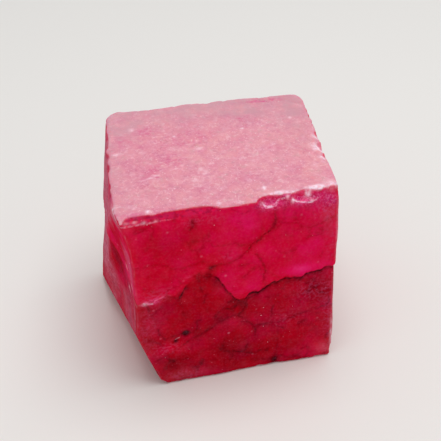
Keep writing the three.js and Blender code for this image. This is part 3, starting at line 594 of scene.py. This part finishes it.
def strewCrumbs(tree, skin, given, height, material):
    # crumbs of crushed stone, on every side but the base
    crumbShape = (1.3, 0.9, 0.55)  # how long, broad and thick one is for its size
    upper = addNode(tree, *greater, {0: height, 1: given["Lowest Crumb"]})
    scatter = addNode(tree, "GeometryNodeDistributePointsOnFaces", None, {
        "Mesh": skin, "Selection": upper, "Density": given["Crumb Density"], "Seed": given["Seed"]})
    share = addNode(tree, "FunctionNodeRandomValue", {"data_type": "FLOAT"}, {"Seed": given["Seed"]}, 1)
    share = addNode(tree, *power, {0: share, 1: given["Small Crumbs"]})
    size = addNode(tree, *straight,
                   {"Value": share, "To Min": given["Smallest Crumb"], "To Max": given["Largest Crumb"]})
    flattened = addNode(tree, *vectorScale, {0: crumbShape, "Scale": size})
    crumb = addNode(tree, "GeometryNodeMeshIcoSphere", None, {"Radius": 1.0, "Subdivisions": 1})
    turned = scatter.node.outputs["Rotation"]
    crumbs = addNode(tree, "GeometryNodeInstanceOnPoints", None,
                     {"Points": scatter, "Instance": crumb, "Rotation": turned, "Scale": flattened})
    crumbs = addNode(tree, "GeometryNodeRealizeInstances", None, {"Geometry": crumbs})
    return addNode(tree, "GeometryNodeSetMaterial", None, {"Geometry": crumbs, "Material": material})


def reliefTree(materials):
    tree = bpy.data.node_groups.new("stoneRelief", "GeometryNodeTree")
    tree.interface.new_socket("Geometry", in_out="OUTPUT", socket_type="NodeSocketGeometry")
    kinds = {"Geometry": "Geometry", "Solid": "Object", "Cracks": "Object", "PaintedGlintLines": "Object"}
    kinds.update({name: "Float" for name in relief}, Seed="Int")
    for name, kind in kinds.items():
        tree.interface.new_socket(name, in_out="INPUT", socket_type="NodeSocket" + kind)
    given = tree.nodes.new("NodeGroupInput").outputs
    position = addNode(tree, "GeometryNodeInputPosition")
    normal = addNode(tree, "GeometryNodeInputNormal")

    skin = storeOffsets(tree, given["Geometry"], given, position)
    move = addNode(tree, *vectorScale, {0: normal, "Scale": reliefHeight(tree, given, position)})
    skin = addNode(tree, "GeometryNodeSetPosition", None, {"Geometry": skin, "Offset": move})
    # nothing goes below what the stone stands on
    level = addNode(tree, *vectorLarger, {0: position, 1: (-1, -1, 0)})
    skin = addNode(tree, "GeometryNodeSetPosition", None, {"Geometry": skin, "Position": level})
    height = addNode(tree, "ShaderNodeSeparateXYZ", None, {0: position}, "Z")
    crumbs = strewCrumbs(tree, skin, given, height, materials[1])
    skin = addNode(tree, "GeometryNodeSetMaterial", None, {"Geometry": skin, "Material": materials[0]})
    join = addNode(tree, "GeometryNodeJoinGeometry", None, {0: crumbs})
    tree.links.new(skin, join.node.inputs[0])
    addNode(tree, "NodeGroupOutput", None, {0: join})
    return tree


def layRelief(made, helpers, materials):
    tree = reliefTree(materials)
    modifier = made.modifiers.new("relief", "NODES")
    modifier.node_group = tree
    values = dict(zip(("Solid", "Cracks", "PaintedGlintLines"), helpers), **relief)
    for item in tree.interface.items_tree:
        if item.in_out == "INPUT" and item.name in values:
            modifier[item.identifier] = values[item.name]
    mesh = plainMesh(made)
    print("relief laid,", len(mesh.polygons), "faces")


ruby = {
    # from the dark of a crack to light that comes up behind the skin, where the stone is redder and pinker
    "redder": [(0, "#4C040C"), (0.22, "#920214"), (0.42, "#C2041F"), (0.6, "#DE0632"), (0.78, "#EE0C4C"),
               (1, "#FA2A74")],
    "pinker": [(0, "#520514"), (0.22, "#9C042A"), (0.42, "#CE083E"), (0.6, "#E80C54"), (0.78, "#F6186E"),
               (1, "#FF4294")],
    "pinkClouds": (3.6, (0.42, 0.74)),  # size in millimetres, and the noise between which the pink comes up
    # clouds inside the stone: size in millimetres, detail, how much lighter or darker
    "clouds": [(5, 3, 0.17), (1.5, 3, 0.15), (0.7, 2, 0.18)],
    # inclusions of pale pink: how far apart in millimetres, their radius, how pale; and fine silk all
    # through the stone: its size, how pale
    "pale": "#EC8CAE",
    "inclusions": [(2.4, 0.3, 0.42), (1.2, 0.15, 0.34)],
    "silk": [(0.32, 0.05), (1.4, 0.03)],
    "silkNoise": (0.44, 0.8),
    # the ground skin and the patches in it: size in millimetres, the noise between which they come up,
    # share and colour
    "ground": "#E497A6",
    "groundPatches": [
        (3.6, (0.44, 0.68), 0.55, "#D87A98"),
        (6, (0.5, 0.68), 0.45, "#E69CA0"),
        (1.2, (0.52, 0.68), 0.32, "#D27090"),
        (0.9, (0.54, 0.7), 0.4, "#CFA2A2"),
        (2.2, (0.5, 0.32), 0.5, "#E9A2AA"),
        (0.8, (0.48, 0.7), 0.4, "#EFB4C6"),
        (0.42, (0.52, 0.7), 0.34, "#F1BCCC"),
        (0.42, (0.46, 0.3), 0.32, "#CE7495"),
        (0.24, (0.6, 0.7), 0.55, "#FCDCE8"),
    ],
    # saw scratches in it, the pale ones painted glints: how far apart and how wide in millimetres, share and
    # colour; then how big the places are where they show, and the noise between which they come up
    "scratchesAndPaintedGlints": [
        (2.6, 0.08, 0.5, "#F6CAD6"),
        (1.7, 0.09, 0.34, "#CA6488"),
        (1.1, 0.06, 0.26, "#F6CCD4"),
    ],
    "fibrePlaces": (2, (0.46, 0.62)),
    # veils over the rest, in order: where, colour, how broad and how tall their patches are in millimetres,
    # least and most share; and the noise between which they go from one to the other
    "veilsUnder": [
        ("milky", "#CC647A", 2, 1.5, (0.6, 1.12)),
        ("milky", "#E28AA2", 1.6, 0.9, (-0.2, 0.26)),
        ("milky", "#A83050", 1.3, 0.8, (-0.5, 0.36)),
        ("milky", "#EEA2B8", 0.5, 0.36, (-0.6, 0.34)),
        ("milky", "#B43A5C", 2, 0.7, (-0.4, 0.3)),
        ("peppered", "#D85A8C", 0.42, 0.42, (-0.4, 0.56)),
        ("fresh", "#BC1C4E", 0.5, 0.5, (0.35, 0.85)),
        ("fresh", "#8A0A2C", 0.7, 0.7, (-0.7, 0.5)),
        # the clean bites: magenta, with painted glints in paler pink
        ("glassy", "#CE1E6C", 0.7, 0.7, (0.25, 0.95)),
        ("glassy", "#EC70A8", 0.36, 0.36, (-0.9, 0.4)),
        ("glassy", "#FF96CC", 0.26, 0.26, (-1.1, 0.34)),
        # painted glow in a brighter pink
        ("flushed", "#FF5692", 0.5, 0.5, (0.1, 0.95)),
    ],
    "veilsOver": [
        # painted shade greying the ground top towards its edges
        ("ashen", "#CD98A4", 2.2, 2.2, (0.45, 1)),
        ("rosy", "#D85A8A", 0.6, 0.6, (0.05, 0.9)),
        # worn edges, with a painted highlight
        ("worn", "#E294AA", 1.1, 1.1, (0.2, 0.8)),
        # painted highlight lines along the chips, the rim, the lip and a pit
        ("bruised", "#F8BCD8", 0.5, 0.5, (0.1, 1.1)),
        # near-white crushed skin, and painted glints
        ("crushed", "#FFE2F0", 0.6, 0.6, (0.3, 1)),
    ],
    "veilNoise": (0.36, 0.62),
    # a painted highlight line in millimetres: where it starts to fade and where it ends; and how it wanders
    "paintedGlintLineFade": (0.02, 0.18),
    "paintedGlintLineWanders": [(0.6, 0.18)],
    "ior": 1.77,  # corundum's own
    # roughness of the broken and of the ground skin; lumps and grit too small for the mesh, by size and
    # height in millimetres; and how much of a clear coat the glassy bites have, and how rough it is
    "roughness": (0.42, 0.68),
    "bumps": {"lumps": (0.9, 0.06), "grit": (0.28, 0.04)},
    "bumpStrength": 0.7,
    "glassCoat": 0.15,
    "coatRoughness": 0.12,
    # how much of the light spreads under the skin, how far red, green and blue go there, and the
    # millimetres that 1 stands for
    "glow": 0.3,
    "glowReach": (1, 0.12, 0.18),
    "glowDepth": 2.5,
}

crackLook = {
    # the dark core of a crack and the shade round it: how wide in millimetres, how dark
    "core": (0.32, 0.3),
    "halo": (0.85, 0.16),
    # what breaks the core up: size in millimetres, noise, and between which shares
    "beads": (0.55, (0.36, 0.58), (0.25, 1.15)),
    # how the cracks wander: how far apart the bends are in millimetres and how far they go
    "crackWanders": [(1.2, 0.7), (0.4, 0.35)],
    "fractureWanders": [(1.6, 0.6), (0.45, 0.5)],
    # nets of fine cracks: how big their cells are in millimetres, and where they show, as for the beads
    "wideNet": (9.5, (6, (0.4, 0.62), (0.12, 1))),
    "smallNet": (4.2, (2.4, (0.44, 0.64), (0, 0.34))),
    "netBend": (0.6, 0.7),  # how a net wanders, in parts of a cell
    "netWander": (0.8, 0.5),  # and in millimetres
}

# the fourth coordinate at which each noise is cut; a list goes on from it by ones
seeds = {
    "beads": 3, "clouds": 5, "pinkClouds": 12, "silk": 15, "grit": 17, "lumps": 18, "smallNetPlaces": 19,
    "wideNetPlaces": 21, "cracks": 21, "fracture": 31, "wideNet": 41, "smallNet": 51, "ground": 60,
    "scratchesAndPaintedGlints": 70, "bruises": 71, "fibrePlaces": 75, "veilsUnder": 81, "veilsOver": 91,
}


def mottled(tree, place, seed, size, noise, share=(0, 1), detail=2.0, ramp=fade):
    # patches of about that size: where the noise goes from one value to the other, their share goes from
    # the least to the most
    cloud = addNode(tree, *seededNoise, noiseAt(place, seed, size, detail))
    return addNode(tree, *ramp, {
        "Value": cloud, "From Min": noise[0], "From Max": noise[1], "To Min": share[0], "To Max": share[1]})


def wandered(tree, place, start, wanders, seed):
    # a place or an offset made to wander, so that what is drawn from it isn't straight
    for k, (size, amount) in enumerate(wanders):
        push = addNode(tree, *seededNoise, noiseAt(place, seed + k, size), "Color")
        push = addNode(tree, *vectorTimesPlus,
                       {0: push, 1: (amount * mm,) * 3, 2: (-middleNoise * amount * mm,) * 3})
        start = addNode(tree, *vectorPlus, {0: start, 1: push})
    return start


def crackShade(tree, place, skin):
    # how dark the cracks make each spot: a beaded core with a soft shade round it
    beads = mottled(tree, place, seeds["beads"], *crackLook["beads"])
    offset = wandered(tree, place, skin["cracksOffset"], crackLook["crackWanders"], seeds["cracks"])
    toCrack = addNode(tree, *vectorLength, {0: offset}, "Value")
    gap = addNode(tree, "ShaderNodeCombineXYZ", None, {"X": skin["fractureGap"]})
    gap = wandered(tree, place, gap, crackLook["fractureWanders"], seeds["fracture"])
    gap = addNode(tree, "ShaderNodeSeparateXYZ", None, {0: gap}, "X")
    toFracture = addNode(tree, *absolute, {0: gap})
    drawn = [(toCrack, skin["cracksWeight"]), (toFracture, skin["fractureWeight"])]
    # the wide net is for the sides where no cracks are drawn, the small one for all
    for name, mask in (("wideNet", skin["netWeight"]), ("smallNet", 1.0)):
        cell, places = crackLook[name]
        wanders = [tuple(cell * part for part in crackLook["netBend"]), crackLook["netWander"]]
        bent = wandered(tree, place, place, wanders, seeds[name])
        edge = addNode(tree, "ShaderNodeTexVoronoi", {"feature": "DISTANCE_TO_EDGE"},
                       {"Vector": bent, "Scale": 1 / (cell * mm)}, "Distance")
        far = addNode(tree, *times, {0: edge, 1: cell * mm})
        shown = mottled(tree, place, seeds[name + "Places"], *places)
        drawn.append((far, addNode(tree, *times, {0: shown, 1: mask})))
    dark = 0.0
    for far, weight in drawn:
        core, halo = (addNode(tree, *fade, fallFrom(shade, far, width * mm))
                      for width, shade in (crackLook["core"], crackLook["halo"]))
        shade = addNode(tree, *timesPlus, {0: core, 1: beads, 2: halo})
        shade = addNode(tree, *times, {0: shade, 1: weight})
        dark = addNode(tree, *larger, {0: dark, 1: shade})
    return dark


def insideColour(tree, place, skin):
    # the red that comes up from inside, on the stored tone with its painted light and shade: clouds and pale
    # inclusions, darkened by the cracks
    tone = skin["tone"]
    for k, (size, detail, amount) in enumerate(ruby["clouds"]):
        cloud = addNode(tree, *seededNoise, noiseAt(place, seeds["clouds"] + k, size, detail))
        cloud = addNode(tree, *timesPlus, {0: cloud, 1: amount, 2: -middleNoise * amount})
        tone = addNode(tree, *plus, {0: tone, 1: cloud})
    tone = addNode(tree, *minus, {0: tone, 1: crackShade(tree, place, skin)})
    shades = []
    for name in ("redder", "pinker"):
        ramp = addNode(tree, "ShaderNodeValToRGB", None, {"Fac": tone})
        stops = ramp.node.color_ramp.elements
        while len(stops) < len(ruby[name]):
            stops.new(1.0)
        for stop, (at, shade) in zip(stops, ruby[name]):
            stop.position = at
            stop.color = linear(shade)
        shades.append(ramp)
    pinker = mottled(tree, place, seeds["pinkClouds"], *ruby["pinkClouds"], detail=ragged, ramp=straight)
    pinker = addNode(tree, "ShaderNodeMath", {"operation": "ADD", "use_clamp": True},
                     {0: pinker, 1: skin["pinkness"]})
    colour = addNode(tree, *blend, {0: pinker, 6: shades[0], 7: shades[1]}, 2)
    pale = 0.0
    for spacing, radius, amount in ruby["inclusions"]:
        cell = addNode(tree, "ShaderNodeTexVoronoi", None,
                       {"Vector": place, "Scale": 1 / (spacing * mm)}, "Distance")
        speck = addNode(tree, *fade, fallFrom(amount, cell, radius / spacing))
        # each cell's own random colour makes some paler than others
        chance = addNode(tree, "ShaderNodeSeparateColor", None, {"Color": cell.node.outputs["Color"]})
        speck = addNode(tree, *times, {0: speck, 1: chance})
        pale = addNode(tree, *larger, {0: pale, 1: speck})
    for k, (size, amount) in enumerate(ruby["silk"]):
        silk = mottled(tree, place, seeds["silk"] + k, size, ruby["silkNoise"], (0, amount), ramp=straight)
        pale = addNode(tree, *plus, {0: pale, 1: silk})
    return addNode(tree, *blend, {0: pale, 6: colour, 7: linear(ruby["pale"])}, 2)


def groundColour(tree, place):
    # the ground top and base: dull pink, with crushed grains
    colour = linear(ruby["ground"])
    for k, (size, noise, share, shade) in enumerate(ruby["groundPatches"]):
        spread = mottled(tree, place, seeds["ground"] + k, size, noise, (0, share), ragged)
        colour = addNode(tree, *blend, {0: spread, 6: colour, 7: linear(shade)}, 2)
    for k, (apart, width, share, shade) in enumerate(ruby["scratchesAndPaintedGlints"]):
        # a saw scratch, painted as a glint where pale, runs where the noise crosses its middle value, and
        # comes and goes
        ridge = addNode(tree, *seededNoise, noiseAt(place, seeds["scratchesAndPaintedGlints"] + k, apart, ragged))
        ridge = addNode(tree, *minus, {0: ridge, 1: middleNoise})
        ridge = addNode(tree, *absolute, {0: ridge})
        ridge = addNode(tree, *fade, fallFrom(share, ridge, 0.5 * width / apart))
        shown = mottled(tree, place, seeds["fibrePlaces"] + k, *ruby["fibrePlaces"])
        ridge = addNode(tree, *times, {0: ridge, 1: shown})
        colour = addNode(tree, *blend, {0: ridge, 6: colour, 7: linear(shade)}, 2)
    return colour


def veiled(tree, place, colour, layer, skin):
    # lays each veil of that layer over the colour, broken up by its own noise
    for k, (name, shade, broad, tall, shares) in enumerate(ruby[layer]):
        drawn = addNode(tree, *vectorTimes, {0: place, 1: (1, 1, broad / tall)})
        share = mottled(tree, drawn, seeds[layer] + k, broad, ruby["veilNoise"], shares, ragged)
        share = addNode(tree, "ShaderNodeMath", {"operation": "MULTIPLY", "use_clamp": True},
                        {0: share, 1: skin[name]})
        colour = addNode(tree, *blend, {0: share, 6: colour, 7: linear(shade)}, 2)
    return colour


def emptyMaterial(name):
    material = bpy.data.materials.new(name)
    material.use_nodes = True
    material.node_tree.nodes.clear()
    return material


def rubyMaterial():
    # rough ruby is corundum reddened by chromium, cloudy with cracks: light goes a few millimetres in and
    # comes back crimson, and where the saw or a knock has crushed the skin it is a dull pale pink
    material = emptyMaterial("roughSawnRuby")
    tree = material.node_tree
    place = addNode(tree, "ShaderNodeTexCoord", None, None, "Object")
    stored = {
        "Fac": ("ground", "worn", "fresh", "glassy", "milky", "peppered", "flushed", "ashen", "rosy",
                "crushed", "tone", "pinkness", "netWeight", "fractureGap", "fractureWeight", "cracksWeight",
                "bruisesWeight"),
        "Vector": ("cracksOffset", "bruisesOffset"),
    }
    skin = {name: addNode(tree, "ShaderNodeAttribute", {"attribute_name": name}, None, out)
            for out, names in stored.items() for name in names}
    # the painted highlight lines: faded out from the listed lines and made to wander
    offset = wandered(tree, place, skin["bruisesOffset"], ruby["paintedGlintLineWanders"], seeds["bruises"])
    far = addNode(tree, *vectorLength, {0: offset}, "Value")
    fadeFrom, fadeTo = ruby["paintedGlintLineFade"]
    near = addNode(tree, *fade, {
        "Value": far, "From Min": fadeFrom * mm, "From Max": fadeTo * mm, "To Min": 1.0, "To Max": 0.0})
    skin["bruised"] = addNode(tree, *times, {0: near, 1: skin["bruisesWeight"]})

    colour = veiled(tree, place, insideColour(tree, place, skin), "veilsUnder", skin)
    ground = groundColour(tree, place)
    colour = addNode(tree, *blend, {0: skin["ground"], 6: colour, 7: ground}, 2)
    colour = veiled(tree, place, colour, "veilsOver", skin)

    dull = addNode(tree, *larger, {0: skin["ground"], 1: skin["crushed"]})
    smoothest, roughest = ruby["roughness"]
    rough = addNode(tree, *straight, {"Value": dull, "To Min": smoothest, "To Max": roughest})
    heights = 0.0
    for name, (size, height) in ruby["bumps"].items():
        bumps = addNode(tree, *seededNoise, noiseAt(place, seeds[name], size, ragged))
        heights = addNode(tree, *timesPlus, {0: bumps, 1: height * mm, 2: heights})
    bump = addNode(tree, "ShaderNodeBump", None,
                   {"Strength": ruby["bumpStrength"], "Distance": 1.0, "Height": heights})
    coat = addNode(tree, *times, {0: skin["glassy"], 1: ruby["glassCoat"]})
    shader = addNode(tree, "ShaderNodeBsdfPrincipled", {"subsurface_method": "RANDOM_WALK"}, {
        "Base Color": colour, "Roughness": rough, "Normal": bump,
        "IOR": ruby["ior"], "Specular IOR Level": 0.0, "Coat Weight": coat,
        "Coat Roughness": ruby["coatRoughness"], "Subsurface Weight": ruby["glow"],
        "Subsurface Radius": ruby["glowReach"], "Subsurface Scale": ruby["glowDepth"] * mm,
    })
    addNode(tree, "ShaderNodeOutputMaterial", None, {"Surface": shader})
    return material


# its two colours, the size of their speckle in millimetres, and how it shines
crushedStone = {"rosy": "#D8668C", "pale": "#F8C8D8", "speckle": 1.5, "roughness": 0.5, "shine": 0.3}


def crumbMaterial():
    # powder and splinters of crushed ruby, which scatter all light: near white, with a little pink
    material = emptyMaterial("crushedRuby")
    tree = material.node_tree
    place = addNode(tree, "ShaderNodeTexCoord", None, None, "Object")
    grain = addNode(tree, "ShaderNodeTexNoise", None,
                    {"Vector": place, "Scale": 1 / (crushedStone["speckle"] * mm)})
    rosy, pale = (linear(crushedStone[name]) for name in ("rosy", "pale"))
    colour = addNode(tree, *blend, {0: grain, 6: rosy, 7: pale}, 2)
    shader = addNode(tree, "ShaderNodeBsdfPrincipled", None, {
        "Base Color": colour, "Roughness": crushedStone["roughness"],
        "IOR": ruby["ior"], "Specular IOR Level": crushedStone["shine"],
    })
    addNode(tree, "ShaderNodeOutputMaterial", None, {"Surface": shader})
    return material


solid = newObject("mergedSolid", mergedSolid())
helpers = (
    solid,
    markSheets("cracks", [(weight, stone["crackReach"], points) for weight, points in stone["cracks"]]),
    markSheets("bruises", stone["bruises"]),
)
rubyStone = meshedStone(solid.data.copy())
wearStep(rubyStone)
markStone(rubyStone)
layRelief(rubyStone, helpers, (rubyMaterial(), crumbMaterial()))
for helper in helpers:
    bpy.data.objects.remove(helper)
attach(rubyStone, "root")
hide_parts(stone["node"])

studio = {
    # in metres and watts
    "floor": "#EFEDEA",
    "floorSize": 3.0,
    "floorRoughness": 0.8,
    "floorShine": 0.2,
    "softboxSize": 0.3,
    "softboxAt": (0.06, -0.02, 0.42),
    "softboxPower": 0.95,
    "skyStrength": 0.5,
    # where the camera stands round the stone: degrees, and millimetres from where it aims; and how far that
    # is off the stone's middle
    "azimuth": -8.7,
    "elevation": 35.4,
    "roll": -2.2,
    "distance": 148.2,
    "aimOffset": (1.63, 1.17, 1.95),
    "lens": 79.64,
    "sensorWidth": 36,
}


def paleFloor():
    mesh = bpy.data.meshes.new("floor")
    half = studio["floorSize"] / 2
    corners = [(-half, -half, 0), (half, -half, 0), (half, half, 0), (-half, half, 0)]
    mesh.from_pydata(corners, [], [range(4)])
    floor = newObject("floor", mesh)
    # pale matt board, which lights the stone softly from below
    material = bpy.data.materials.new("paleBoard")
    material.use_nodes = True
    shader = material.node_tree.nodes["Principled BSDF"]
    shader.inputs["Base Color"].default_value = linear(studio["floor"])
    shader.inputs["Roughness"].default_value = studio["floorRoughness"]
    shader.inputs["Specular IOR Level"].default_value = studio["floorShine"]
    mesh.materials.append(material)


def softLight():
    lamp = bpy.data.lights.new("softbox", "AREA")
    lamp.shape = "SQUARE"
    lamp.size = studio["softboxSize"]
    lamp.energy = studio["softboxPower"]
    holder = newObject("softbox", lamp)
    holder.location = studio["softboxAt"]
    holder.rotation_euler = (-holder.location).to_track_quat("-Z", "Y").to_euler()
    world = bpy.data.worlds.new("paleRoom")
    world.use_nodes = True
    sky = world.node_tree.nodes["Background"].inputs
    sky["Color"].default_value = (1, 1, 1, 1)
    sky["Strength"].default_value = studio["skyStrength"]
    bpy.context.scene.world = world
    bpy.context.scene.view_settings.view_transform = "Standard"


def frontCamera():
    turn, tilt, roll = (radians(studio[name]) for name in ("azimuth", "elevation", "roll"))
    back = Vector((sin(turn) * cos(tilt), -cos(turn) * cos(tilt), sin(tilt)))
    level = Vector((0, 0, 1)).cross(back).normalized()
    upright = back.cross(level)
    right = cos(roll) * level + sin(roll) * upright
    up = cos(roll) * upright - sin(roll) * level
    middle = (Vector(cadBox[0]) + Vector(cadBox[1])) / 2
    camera = newObject("camera", bpy.data.cameras.new("camera"))
    camera.matrix_world = Matrix((right, up, back)).transposed().to_4x4()
    camera.location = middle + (Vector(studio["aimOffset"]) + back * studio["distance"]) * mm
    camera.data.lens = studio["lens"]
    camera.data.sensor_width = studio["sensorWidth"]
    camera.data.clip_start = 0.01
    bpy.context.scene.camera = camera


paleFloor()
softLight()
frontCamera()
print("studio ready")
